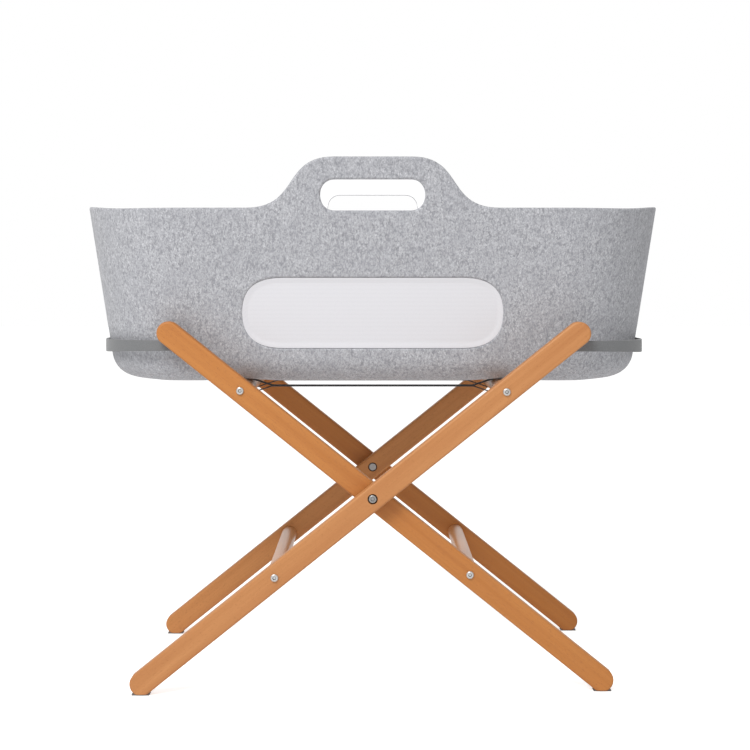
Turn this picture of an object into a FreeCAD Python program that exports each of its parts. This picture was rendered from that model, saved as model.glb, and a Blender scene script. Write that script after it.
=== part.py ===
import FreeCAD, Part
import math
import os

# Moses basket: a felt basket resting on a folding wooden cross stand.
# Row frame: millimetres, +Z up, X along the basket, origin on the floor under the middle.
# The stand is two equal frames, A and B. Frame B is frame A turned half a turn about Z.
# The front legs of frame A are the outer pair, the back legs of frame A the inner pair.

V = FreeCAD.Vector
UP = V(0, 0, 1)
ORIGIN = V(0, 0, 0)

# ---- driving dimensions: stand
LEG_DEPTH = 32.0
LEG_THICKNESS = 22.0
LEG_ANGLE = 38.65
LEG_UPPER = 358.0
LEG_LOWER = 401.0
LEG_EDGE_RADIUS = 3.0
FOOT_CENTRE_HEIGHT = 13.8
STAND_HALF_WIDTH = 223.25
FRAME_GAP = 1.5
GLIDE_THICKNESS = 1.5
GLIDE_LENGTH = 24.0
GLIDE_WIDTH = 18.0
GLIDE_SHIFT = 1.0

UPPER_RAIL_AT = 232.0
LOWER_RAIL_AT = 170.0
RAIL_RADIUS = 11.6
RAIL_END_CHAMFER = 0.8

# ---- driving dimensions: stand hardware
BOLT_RADIUS = 2.95
BOLT_HOLE_RADIUS = 3.0
BOLT_HEAD_RADIUS = 5.25
BOLT_HEAD_HEIGHT = 3.0
BOLT_REACH = 16.0
INSERT_RADIUS = 4.95
INSERT_HOLE_RADIUS = 5.0
INSERT_LENGTH = 18.0
INSERT_HOLE_SPARE = 4.0
PIVOT_HEAD_RADIUS = 5.7
PIVOT_HEAD_HEIGHT = 3.0
COUNTERBORE_RADIUS = 7.0
COUNTERBORE_DEPTH = 3.4
NUT_RADIUS = 5.5
NUT_HEIGHT = 2.8
NUT_CAP = 0.8
NUT_RECESS_RADIUS = 7.2
NUT_RECESS_DEPTH = 3.2
RAIL_KEY_RADIUS = 2.6
PIVOT_KEY_RADIUS = 3.2
KEY_DEPTH = 1.8
HEAD_ROUNDING = 0.6
WASHER_RADIUS = 11.0
WASHER_THICKNESS = 1.2
WASHER_BORE_GAP = 0.3
TURNING_GAP = 0.2

# ---- driving dimensions: straps of the stand
WEB_WIDTH = 25.0
WEB_PLY = 0.9
WEB_PLACE = 75.0
WEB_JOIN_AT = 37.0
WEB_CLEARANCE = 0.1
END_STRAP_HEIGHT = 19.0
END_STRAP_THICKNESS = 3.0
END_STRAP_AT = 326.0
END_STRAP_REACH = 385.6
END_STRAP_CORNER = 122.0
END_STRAP_END = 12.0
SCREW_HEAD_RADIUS = 4.0
SCREW_HEAD_HEIGHT = 1.6
SCREW_RADIUS = 1.7
SCREW_LENGTH = 14.0
SCREW_TIP_GAP = 1.0
THREAD_GAP = 0.05

# ---- driving dimensions: basket
FELT = 8.0
RIM_HALF_LENGTH = 410.7
RIM_HALF_WIDTH = 198.0
RIM_CORNER = 150.0
FRONT_RIM_Z = 661.0
END_RIM_Z = 668.5
END_RISE_FROM = 300.0
END_RISE_RUN_OUT = 1.35
BASE_HALF_WIDTH = 152.0
BASE_CORNER = 116.0
END_SLOPE = 8.55
BOTTOM_RADIUS = 31.0
BASKET_CLEARANCE = 0.2
HUMP_TOP_Z = 730.0
HUMP_HALF_FLAT = 53.0
HUMP_HALF_FOOT = 174.0
HUMP_TOP_HANDLE = 72.0
HUMP_FOOT_HANDLE = 75.0
SLOT_LENGTH = 143.5
SLOT_HEIGHT = 42.0
SLOT_END = 20.0
SLOT_FULLNESS = 0.60
SLOT_Z = 678.2
WINDOW_LENGTH = 360.0
WINDOW_HEIGHT = 98.0
WINDOW_END = 55.0
WINDOW_FULLNESS = 0.67
WINDOW_Z = 516.3
WINDOW_LAP = 9.0
MESH_THICKNESS = 1.2
LINER_THICKNESS = 1.5
SOFT_GAP = 0.3
BOARD_THICKNESS = 4.0
BOARD_INSET = 32.0
MATTRESS_HEIGHT = 38.0
MATTRESS_INSET = 24.0
MATTRESS_COVER = 1.5
MATTRESS_EDGE = 12.0
FOAM_EDGE = 10.0

# ---- cutting tools, always larger than what they cut, and the lap where two solids are joined
FAR = 600.0
CUT_PAST = 5.0
JOIN_LAP = 0.5
LINER_RIM_DROP = 2.0
LINER_SLOT_MARGIN = 2.0

# ---- worked out from the driving dimensions
ANGLE = math.radians(LEG_ANGLE)
ALONG = V(math.cos(ANGLE), 0, math.sin(ANGLE))
PIVOT_Z = GLIDE_THICKNESS + FOOT_CENTRE_HEIGHT + LEG_LOWER * math.sin(ANGLE)
PIVOT = V(0, 0, PIVOT_Z)
OUTER_LEG_FACE = -STAND_HALF_WIDTH
OUTER_LEG_INSIDE = OUTER_LEG_FACE + LEG_THICKNESS
INNER_LEG_INSIDE = STAND_HALF_WIDTH - 2 * LEG_THICKNESS - FRAME_GAP
INNER_LEG_FACE = INNER_LEG_INSIDE + LEG_THICKNESS
RAIL_Z = PIVOT_Z + UPPER_RAIL_AT * math.sin(ANGLE)
RAIL_X = UPPER_RAIL_AT * math.cos(ANGLE)
WEB_RADIUS = RAIL_RADIUS + WEB_CLEARANCE + WEB_PLY
BASE_Z = RAIL_Z + WEB_RADIUS + BASKET_CLEARANCE
BASE_HALF_LENGTH = RIM_HALF_LENGTH - (END_RIM_Z - BASE_Z) * math.tan(math.radians(END_SLOPE))
TOP_Z = HUMP_TOP_Z + 2 * CUT_PAST
LINER_AT = FELT + MESH_THICKNESS + 2 * SOFT_GAP
BOARD_Z = BASE_Z + FELT + SOFT_GAP
LINER_Z = BOARD_Z + BOARD_THICKNESS + SOFT_GAP
MATTRESS_Z = LINER_Z + LINER_THICKNESS + SOFT_GAP


def on_leg(distance, y=0.0):
    """A point on the centre line of frame A's legs, this far up from the pivot."""
    return PIVOT + ALONG * distance + V(0, y, 0)


def half_turn(shape):
    """The same piece on frame B."""
    turned = shape.copy()
    turned.rotate(ORIGIN, UP, 180)
    return turned


def cylinder(radius, start, end):
    way = end - start
    return Part.makeCylinder(radius, way.Length, start, way)


def box(x0, x1, y0, y1, z0, z1):
    return Part.makeBox(x1 - x0, y1 - y0, z1 - z0, V(x0, y0, z0))


def fuse_all(shapes):
    return shapes[0].multiFuse(shapes[1:]).removeSplitter() if len(shapes) > 1 else shapes[0]


def save(name, *shapes):
    """One file per node; like pieces share a node as separate solids."""
    shape = shapes[0] if len(shapes) == 1 else Part.makeCompound(list(shapes))
    assert shape.isValid(), name
    shape.exportStep(f"parts/{name}.step")
    low, high = shape.BoundBox.ZMin, shape.BoundBox.ZMax
    print(f"{name}: {len(shape.Solids)} solids, {shape.Volume / 1000:.1f} cm3, z {low:.1f} to {high:.1f}")


# ---------------------------------------------------------------- stand: legs and rails

def leg(y0):
    """A bar with round ends and eased edges, 22 thick from y0, with its foot cut flat."""
    low, high = on_leg(-LEG_LOWER, y0), on_leg(LEG_UPPER, y0)
    side = V(-math.sin(ANGLE), 0, math.cos(ANGLE)) * (LEG_DEPTH / 2)
    end = ALONG * (LEG_DEPTH / 2)
    outline = Part.Wire([
        Part.makeLine(low - side, high - side),
        Part.Arc(high - side, high + end, high + side).toShape(),
        Part.makeLine(high + side, low + side),
        Part.Arc(low + side, low - end, low - side).toShape(),
    ])
    bar = Part.Face(outline).extrude(V(0, LEG_THICKNESS, 0))
    rims = [e for e in bar.Edges if e.BoundBox.YLength < 1]
    bar = bar.makeFillet(LEG_EDGE_RADIUS, rims)
    floor = box(-FAR, FAR, -FAR, FAR, -FAR, GLIDE_THICKNESS)
    return bar.cut(floor)


def drilled(bar, y0, recess_radius, recess_depth):
    """Holes for the pivot bolt, sunk on the face at y0, and for the bolt of each rail."""
    before, after = y0 - CUT_PAST, y0 + LEG_THICKNESS + CUT_PAST
    for at in (0.0, UPPER_RAIL_AT, -LOWER_RAIL_AT):
        bar = bar.cut(cylinder(BOLT_HOLE_RADIUS, on_leg(at, before), on_leg(at, after)))
    return bar.cut(cylinder(recess_radius, on_leg(0, before), on_leg(0, y0 + recess_depth)))


def screw_hole(y, into):
    """The pilot hole of an end strap's screw, going from a leg's inside face into the wood."""
    return cylinder(SCREW_RADIUS, on_leg(END_STRAP_AT, y), on_leg(END_STRAP_AT, y + into * SCREW_LENGTH))


def rail(at):
    """A round rail between the two legs of frame A, bored at both ends for its inserts."""
    start, end = on_leg(at, OUTER_LEG_INSIDE), on_leg(at, INNER_LEG_INSIDE)
    bar = cylinder(RAIL_RADIUS, start, end)
    bar = bar.makeChamfer(RAIL_END_CHAMFER, [e for e in bar.Edges if e.BoundBox.YLength < 1])
    deep = V(0, INSERT_LENGTH + INSERT_HOLE_SPARE, 0)
    return bar.cut(cylinder(INSERT_HOLE_RADIUS, start, start + deep)).cut(
        cylinder(INSERT_HOLE_RADIUS, end, end - deep))


def socket(centre, way, radius):
    """A hexagonal key socket, cut into a head from its face. radius goes to the hexagon's corners."""
    corners = [centre + V(math.cos(a), 0, math.sin(a)) * radius
               for a in (math.radians(60 * k) for k in range(7))]
    return Part.Face(Part.makePolygon(corners)).extrude(way * KEY_DEPTH)


def bolt(face, way, head_radius, head_height, length, key_radius):
    """A button-head bolt: its head's underside on face, its shank going along way."""
    top = face - way * head_height
    head = cylinder(head_radius, top, face)
    rim = [e for e in head.Edges if abs(e.BoundBox.YMin - top.y) < 0.01 and e.BoundBox.YLength < 0.01]
    head = head.makeFillet(head_height * HEAD_ROUNDING, rim)
    shank = cylinder(BOLT_RADIUS, face - way * JOIN_LAP, face + way * length)
    return head.fuse(shank).removeSplitter().cut(socket(top, way, key_radius))


def rail_hardware(at):
    """Both bolts and both threaded inserts of one rail of frame A."""
    bolts, inserts = [], []
    ends = ((OUTER_LEG_FACE, OUTER_LEG_INSIDE, 1), (INNER_LEG_FACE, INNER_LEG_INSIDE, -1))
    for face_y, inside_y, sign in ends:
        way = V(0, sign, 0)
        length = LEG_THICKNESS + BOLT_REACH
        bolts.append(bolt(on_leg(at, face_y), way, BOLT_HEAD_RADIUS, BOLT_HEAD_HEIGHT, length,
                          RAIL_KEY_RADIUS))
        start = on_leg(at, inside_y)
        sleeve = cylinder(INSERT_RADIUS, start, start + way * INSERT_LENGTH)
        inserts.append(sleeve.cut(cylinder(BOLT_HOLE_RADIUS, start, start + way * INSERT_LENGTH)))
    return bolts, inserts


def pivot_hardware():
    """The front pivot of the stand: bolt, washer between the legs, and cap nut inside."""
    way = V(0, 1, 0)
    seat = V(0, OUTER_LEG_FACE + COUNTERBORE_DEPTH, PIVOT_Z)
    nut_seat = V(0, OUTER_LEG_FACE + 2 * LEG_THICKNESS + FRAME_GAP - NUT_RECESS_DEPTH, PIVOT_Z)
    nut_start = nut_seat + way * TURNING_GAP
    length = (nut_start - seat).Length + NUT_HEIGHT - NUT_CAP - TURNING_GAP
    seat = seat - way * TURNING_GAP
    the_bolt = bolt(seat, way, PIVOT_HEAD_RADIUS, PIVOT_HEAD_HEIGHT, length, PIVOT_KEY_RADIUS)
    nut = cylinder(NUT_RADIUS, nut_start, nut_start + way * NUT_HEIGHT)
    nut = nut.cut(cylinder(BOLT_HOLE_RADIUS, nut_start, nut_start + way * (NUT_HEIGHT - NUT_CAP)))
    middle = V(0, OUTER_LEG_INSIDE + FRAME_GAP / 2, PIVOT_Z)
    half = way * (WASHER_THICKNESS / 2)
    washer = cylinder(WASHER_RADIUS, middle - half, middle + half)
    washer = washer.cut(cylinder(BOLT_HOLE_RADIUS + WASHER_BORE_GAP, middle - way * CUT_PAST,
                                 middle + way * CUT_PAST))
    return the_bolt, nut, washer


def glides():
    """Felt glides under the two left feet, one under a leg of each pair."""
    reach = LEG_LOWER * math.cos(ANGLE)
    pads = []
    for y0 in (OUTER_LEG_FACE, INNER_LEG_INSIDE):
        middle = y0 + LEG_THICKNESS / 2
        x0 = -reach - GLIDE_LENGTH / 2 - GLIDE_SHIFT
        pad = box(x0, x0 + GLIDE_LENGTH, middle - GLIDE_WIDTH / 2, middle + GLIDE_WIDTH / 2,
                  0, GLIDE_THICKNESS)
        pads.append(pad)
    return pads


# ---------------------------------------------------------------- stand: straps

def rounded_strip(points, radius, thickness, height, z0):
    """An upright band of even thickness along an open plan route with rounded corners."""
    a, b, c, d = points
    to_b, to_c, to_d = ((q - p).normalize() for p, q in ((a, b), (b, c), (c, d)))
    sides = []
    for sign in (-1, 1):
        shift = sign * thickness / 2
        r = radius + shift
        out = [p + n * shift for p, n in ((a, -to_c), (b, -to_c), (c, to_c), (d, to_c))]
        corner_b = out[1] + to_b * shift
        corner_c = out[2] + to_b * shift
        lean = r * (1 - math.sqrt(0.5))
        sides.append([
            Part.makeLine(out[0], corner_b - to_b * r),
            Part.Arc(corner_b - to_b * r, corner_b + (to_c - to_b) * lean, corner_b + to_c * r).toShape(),
            Part.makeLine(corner_b + to_c * r, corner_c - to_c * r),
            Part.Arc(corner_c - to_c * r, corner_c - (to_c - to_d) * lean, corner_c + to_d * r).toShape(),
            Part.makeLine(corner_c + to_d * r, out[3]),
        ])
    inner, outer = (Part.Wire(edges) for edges in sides)
    starts = [w.OrderedVertexes[0].Point for w in (inner, outer)]
    ends = [w.OrderedVertexes[-1].Point for w in (inner, outer)]
    outline = Part.Wire(inner.OrderedEdges + [Part.makeLine(ends[0], ends[1])]
                        + list(reversed(outer.OrderedEdges)) + [Part.makeLine(starts[1], starts[0])])
    band = Part.Face(outline).extrude(V(0, 0, height))
    band.translate(V(0, 0, z0))
    return band


def end_strap():
    """The band of frame A that goes round the basket's right-hand end, from leg to leg."""
    fixing = on_leg(END_STRAP_AT)
    half = END_STRAP_THICKNESS / 2
    front, back = OUTER_LEG_INSIDE + half, INNER_LEG_INSIDE - half
    start, far = fixing.x - END_STRAP_END, END_STRAP_REACH - half
    points = [V(start, front, 0), V(far, front, 0), V(far, back, 0), V(start, back, 0)]
    band = rounded_strip(points, END_STRAP_CORNER, END_STRAP_THICKNESS, END_STRAP_HEIGHT,
                         fixing.z - END_STRAP_HEIGHT / 2)
    hole = cylinder(SCREW_RADIUS, V(fixing.x, -FAR, fixing.z), V(fixing.x, FAR, fixing.z))
    return band.cut(hole)


def strap_screws():
    """The two flat-head screws that hold the end strap to frame A's legs."""
    screws = []
    for face_y, way in ((OUTER_LEG_INSIDE, V(0, -1, 0)), (INNER_LEG_INSIDE, V(0, 1, 0))):
        under = on_leg(END_STRAP_AT, face_y) - way * END_STRAP_THICKNESS
        head = cylinder(SCREW_HEAD_RADIUS, under - way * SCREW_HEAD_HEIGHT, under)
        shank = cylinder(SCREW_RADIUS - THREAD_GAP, under - way * JOIN_LAP,
                         under + way * (END_STRAP_THICKNESS + SCREW_LENGTH - SCREW_TIP_GAP))
        screws.append(head.fuse(shank).removeSplitter())
    return screws


def teardrop(x, radius, tip):
    """A round with a point towards the middle, the side view of a strap led round a rail."""
    toward = -math.copysign(1, x)
    lean = math.acos(radius / tip)
    centre = V(x, 0, RAIL_Z)
    touch = [centre + V(toward * radius * math.cos(lean), 0, s * radius * math.sin(lean)) for s in (-1, 1)]
    point = centre + V(toward * tip, 0, 0)
    wedge = Part.Face(Part.makePolygon([point, touch[0], centre, touch[1], point]))
    disc = Part.Face(Part.Wire(Part.makeCircle(radius, centre, V(0, 1, 0))))
    return wedge.fuse(disc).removeSplitter()


def webbing(y):
    """A sewn band across the stand: one loop round each upper rail, two plies between."""
    loops = []
    for x in (-RAIL_X, RAIL_X):
        outer = teardrop(x, RAIL_RADIUS + WEB_CLEARANCE + WEB_PLY, WEB_JOIN_AT)
        inner = teardrop(x, RAIL_RADIUS + WEB_CLEARANCE, WEB_JOIN_AT - 3 * WEB_PLY)
        loops.append(outer.cut(inner).extrude(V(0, WEB_WIDTH, 0)))
    reach = RAIL_X - WEB_JOIN_AT + 2 * WEB_PLY
    plies = box(-reach, reach, 0, WEB_WIDTH, RAIL_Z - WEB_PLY, RAIL_Z + WEB_PLY)
    band = fuse_all(loops + [plies])
    band.translate(V(0, y - WEB_WIDTH / 2, 0))
    return band


# ---------------------------------------------------------------- basket

def plan_at(z, inset):
    """Half length, half width and corner radius of the basket's outline at height z, less inset."""
    share = (z - BASE_Z) / (FRONT_RIM_Z - BASE_Z)
    half_length = BASE_HALF_LENGTH + (z - BASE_Z) * math.tan(math.radians(END_SLOPE))
    half_width = BASE_HALF_WIDTH + share * (RIM_HALF_WIDTH - BASE_HALF_WIDTH)
    corner = BASE_CORNER + share * (RIM_CORNER - BASE_CORNER)
    return half_length - inset, half_width - inset, corner - inset


def outline(half_length, half_width, corner, z):
    """A rectangle with round corners, lying flat at height z."""
    x, y = half_length - corner, half_width - corner
    dx = corner * math.sqrt(0.5)
    edges = []
    for sx, sy in ((1, 1), (-1, 1), (-1, -1), (1, -1)):
        out_x, out_y = V(sx * half_length, sy * y, z), V(sx * x, sy * half_width, z)
        middle = V(sx * (x + dx), sy * (y + dx), z)
        ends = (out_x, out_y) if sx * sy > 0 else (out_y, out_x)
        edges.append(Part.Arc(ends[0], middle, ends[1]).toShape())
    wire_edges = []
    for k, arc in enumerate(edges):
        wire_edges.append(arc)
        following = edges[(k + 1) % 4]
        wire_edges.append(Part.makeLine(arc.Vertexes[-1].Point, following.Vertexes[0].Point))
    return Part.Wire(wire_edges)


def tub(inset, bottom_z, top_z, bottom_radius, steps=5):
    """A solid that fills the basket's outline less inset, with a rounded bottom edge."""
    sections = []
    for k in range(steps + 1):
        turn = math.radians(90.0 * k / steps)
        rise = bottom_radius * (1 - math.cos(turn))
        tuck = bottom_radius * (1 - math.sin(turn))
        sections.append(outline(*plan_at(bottom_z + rise, inset + tuck), bottom_z + rise))
    sections.append(outline(*plan_at(top_z, inset), top_z))
    return Part.makeLoft(sections, True, True)


def above_rim(drop=0.0):
    """Everything above the rim line: flat at the sides, raised in a hump at each handle,
    and rising a little towards the ends. drop lowers the line."""
    half = Part.BezierCurve()
    half.setPoles([V(HUMP_HALF_FLAT, 0, HUMP_TOP_Z), V(HUMP_HALF_FLAT + HUMP_TOP_HANDLE, 0, HUMP_TOP_Z),
                   V(HUMP_HALF_FOOT - HUMP_FOOT_HANDLE, 0, FRONT_RIM_Z),
                   V(HUMP_HALF_FOOT, 0, FRONT_RIM_Z)])
    rise = Part.BezierCurve()
    past = RIM_HALF_LENGTH + 4 * CUT_PAST
    slope_z = FRONT_RIM_Z + (END_RIM_Z - FRONT_RIM_Z) * END_RISE_RUN_OUT
    rise.setPoles([V(END_RISE_FROM, 0, FRONT_RIM_Z),
                   V((END_RISE_FROM + past) / 2, 0, FRONT_RIM_Z), V(past, 0, slope_z)])
    level = Part.makeLine(V(HUMP_HALF_FOOT, 0, FRONT_RIM_Z), V(END_RISE_FROM, 0, FRONT_RIM_Z))
    right = [half.toShape(), level, rise.toShape()]
    mirrored = [e.mirror(ORIGIN, V(1, 0, 0)) for e in right]
    across = [Part.makeLine(V(-HUMP_HALF_FLAT, 0, HUMP_TOP_Z), V(HUMP_HALF_FLAT, 0, HUMP_TOP_Z))]
    frame = Part.makePolygon([V(past, 0, slope_z), V(past, 0, TOP_Z + FAR), V(-past, 0, TOP_Z + FAR),
                              V(-past, 0, slope_z)])
    ordered = Part.sortEdges(right + mirrored + across + frame.Edges)[0]
    region = Part.Face(Part.Wire(ordered)).extrude(V(0, 2 * FAR, 0))
    region.translate(V(0, -FAR, -drop))
    return region


def oblong(length, height, end, fullness, z, grow=0.0):
    """A bar with soft full ends standing across both long walls, for slots and windows."""
    x, r, flat = length / 2 + grow, height / 2 + grow, length / 2 - end
    reach = x - flat
    quarters = []
    for sx, sz in ((1, 1), (1, -1), (-1, -1), (-1, 1)):
        top, middle = V(sx * flat, -FAR, z + sz * r), V(sx * x, -FAR, z)
        poles = [top, top + V(sx * fullness * reach, 0, 0), middle + V(0, 0, sz * fullness * r), middle]
        curve = Part.BezierCurve()
        curve.setPoles(poles)
        quarters.append(curve.toShape())
    for sz in (1, -1):
        quarters.append(Part.makeLine(V(-flat, -FAR, z + sz * r), V(flat, -FAR, z + sz * r)))
    rim = Part.Wire(Part.sortEdges(quarters)[0])
    return Part.Face(rim).extrude(V(0, 2 * FAR, 0))


def slot_bar(grow=0.0):
    return oblong(SLOT_LENGTH, SLOT_HEIGHT, SLOT_END, SLOT_FULLNESS, SLOT_Z, grow)


def window_bar(grow=0.0):
    return oblong(WINDOW_LENGTH, WINDOW_HEIGHT, WINDOW_END, WINDOW_FULLNESS, WINDOW_Z, grow)


def felt_shell():
    outer = tub(0, BASE_Z, TOP_Z, BOTTOM_RADIUS)
    inner = tub(FELT, BASE_Z + FELT, TOP_Z + CUT_PAST, BOTTOM_RADIUS - FELT)
    return outer.cut(inner).cut(above_rim()).cut(slot_bar()).cut(window_bar())


def window_meshes():
    """The panels sewn behind the windows, lapping past each opening."""
    inset = FELT + SOFT_GAP
    outer = tub(inset, BASE_Z + inset, TOP_Z, BOTTOM_RADIUS - inset)
    inner = tub(inset + MESH_THICKNESS, BASE_Z + inset + MESH_THICKNESS, TOP_Z + CUT_PAST,
                BOTTOM_RADIUS - inset - MESH_THICKNESS)
    panel = outer.cut(inner).common(window_bar(WINDOW_LAP))
    return sorted(panel.Solids, key=lambda s: s.CenterOfMass.y)


def liner():
    outer = tub(LINER_AT, LINER_Z, TOP_Z, BOTTOM_RADIUS - LINER_AT)
    inset = LINER_AT + LINER_THICKNESS
    inner = tub(inset, LINER_Z + LINER_THICKNESS, TOP_Z + CUT_PAST, BOTTOM_RADIUS - inset)
    sheet = outer.cut(inner).cut(above_rim(LINER_RIM_DROP))
    return sheet.cut(slot_bar(LINER_SLOT_MARGIN))


def slab(inset, z, height, edge):
    """A flat piece with the basket's floor outline, its upright corners and edges eased."""
    half_length, half_width, corner = plan_at(BASE_Z, inset)
    body = Part.Face(outline(half_length, half_width, corner, z)).extrude(V(0, 0, height))
    if not edge:
        return body
    flat = [e for e in body.Edges if e.BoundBox.ZLength < 1e-3]
    return body.makeFillet(edge, flat)


# ---------------------------------------------------------------- files

os.makedirs("parts", exist_ok=True)

outer_leg = drilled(leg(OUTER_LEG_FACE), OUTER_LEG_FACE, COUNTERBORE_RADIUS, COUNTERBORE_DEPTH)
outer_leg = outer_leg.cut(screw_hole(OUTER_LEG_INSIDE, -1))
inner_leg = drilled(leg(INNER_LEG_INSIDE), INNER_LEG_INSIDE, NUT_RECESS_RADIUS, NUT_RECESS_DEPTH)
inner_leg = inner_leg.cut(screw_hole(INNER_LEG_INSIDE, 1))
save("leg_a_front", outer_leg)
save("leg_a_back", inner_leg)
save("leg_b_back", half_turn(outer_leg))
save("leg_b_front", half_turn(inner_leg))

all_bolts, all_inserts = [], []
for name, at in (("upper_rail", UPPER_RAIL_AT), ("lower_rail", -LOWER_RAIL_AT)):
    bar = rail(at)
    save(f"{name}_a", bar)
    save(f"{name}_b", half_turn(bar))
    bolts, inserts = rail_hardware(at)
    all_bolts += bolts
    all_inserts += inserts
for name, pieces in (("rail_bolts", all_bolts), ("rail_inserts", all_inserts),
                     ("end_strap", [end_strap()]), ("end_strap_screws", strap_screws())):
    save(f"{name}_a", *pieces)
    save(f"{name}_b", *[half_turn(p) for p in pieces])

for name, piece in zip(("pivot_bolts", "pivot_nuts", "pivot_washers"), pivot_hardware()):
    save(name, piece, half_turn(piece))

left_glides = glides()
save("foot_glides_left", *left_glides)
save("foot_glides_right", *[half_turn(p) for p in left_glides])

save("webbing_front", webbing(-WEB_PLACE))
save("webbing_back", webbing(WEB_PLACE))

save("felt_shell", felt_shell())
save("liner", liner())
mesh_front, mesh_back = window_meshes()
save("window_mesh_front", mesh_front)
save("window_mesh_back", mesh_back)
save("base_board", slab(BOARD_INSET, BOARD_Z, BOARD_THICKNESS, 0))
cover = slab(MATTRESS_INSET, MATTRESS_Z, MATTRESS_HEIGHT, MATTRESS_EDGE)
core = slab(MATTRESS_INSET + MATTRESS_COVER + SOFT_GAP, MATTRESS_Z + MATTRESS_COVER + SOFT_GAP,
            MATTRESS_HEIGHT - 2 * (MATTRESS_COVER + SOFT_GAP), FOAM_EDGE)
hollow = slab(MATTRESS_INSET + MATTRESS_COVER, MATTRESS_Z + MATTRESS_COVER,
              MATTRESS_HEIGHT - 2 * MATTRESS_COVER, MATTRESS_EDGE - MATTRESS_COVER)
save("mattress_cover", cover.cut(hollow))
save("mattress_core", core)

print(f"pivot {PIVOT_Z:.2f}, rail {RAIL_X:.2f}, {RAIL_Z:.2f}, basket bottom {BASE_Z:.2f}")
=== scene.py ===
import math

import bpy
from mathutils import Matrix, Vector


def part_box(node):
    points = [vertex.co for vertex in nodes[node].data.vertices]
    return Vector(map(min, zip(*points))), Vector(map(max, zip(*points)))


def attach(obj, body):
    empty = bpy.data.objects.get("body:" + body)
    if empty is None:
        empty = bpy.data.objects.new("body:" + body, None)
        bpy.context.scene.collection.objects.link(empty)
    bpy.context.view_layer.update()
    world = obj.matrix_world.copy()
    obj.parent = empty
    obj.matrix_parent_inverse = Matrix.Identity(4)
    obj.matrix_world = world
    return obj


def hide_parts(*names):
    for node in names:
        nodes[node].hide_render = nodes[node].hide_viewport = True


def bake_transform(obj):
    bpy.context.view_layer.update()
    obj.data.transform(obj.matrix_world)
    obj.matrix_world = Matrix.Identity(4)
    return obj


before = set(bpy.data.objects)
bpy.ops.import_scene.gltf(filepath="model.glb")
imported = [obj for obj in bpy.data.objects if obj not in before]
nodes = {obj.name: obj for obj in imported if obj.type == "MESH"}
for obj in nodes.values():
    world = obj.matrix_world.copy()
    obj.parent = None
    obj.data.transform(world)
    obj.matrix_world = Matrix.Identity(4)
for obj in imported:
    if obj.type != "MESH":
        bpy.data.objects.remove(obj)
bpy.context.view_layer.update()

scene = bpy.context.scene

# ---------------------------------------------------------------- beech legs and rails
# The stand is eight beech sticks: four flat legs with round ends and four dowel rails, sanded with
# eased edges and finished with a thin satin oil, so the fine flecks of the beech still show. The
# back legs carry painted shade from the basket above them, and the falling legs a deeper tone that
# is partly their own and partly painted shade. The walls of the pivot bores are painted dark as
# painted shade in the recess.

LEG_SLOPE = math.radians(38.65)
SMOOTH_ANGLE = math.radians(32)
FLAT_ANGLE = math.radians(0.4)
MERGE_WITHIN = 2e-5


def only(piece):
    """Makes one object the selected and active one."""
    bpy.ops.object.select_all(action="DESELECT")
    piece.select_set(True)
    bpy.context.view_layer.objects.active = piece


def edit(piece):
    only(piece)
    bpy.ops.object.mode_set(mode="EDIT")


def done():
    bpy.ops.object.mode_set(mode="OBJECT")


def apply_modifiers(piece):
    only(piece)
    for modifier in list(piece.modifiers):
        bpy.ops.object.modifier_apply(modifier=modifier.name)


def smooth(piece, angle=SMOOTH_ANGLE):
    """Smooth shading that keeps the true creases, with flat faces left flat."""
    only(piece)
    bpy.ops.object.shade_smooth_by_angle(angle=angle)
    piece.modifiers.new("face weighted", "WEIGHTED_NORMAL").keep_sharp = True
    apply_modifiers(piece)


def joined_copy(node, name):
    """A CAD node's own surface with its loose triangles joined up, so that it can shade smoothly."""
    piece = bpy.data.objects.new(name, nodes[node].data.copy())
    scene.collection.objects.link(piece)
    piece.data.materials.clear()
    edit(piece)
    bpy.ops.mesh.select_all(action="SELECT")
    bpy.ops.mesh.remove_doubles(threshold=MERGE_WITHIN)
    bpy.ops.mesh.dissolve_limited(angle_limit=FLAT_ANGLE)
    done()
    smooth(piece)
    return piece


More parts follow.
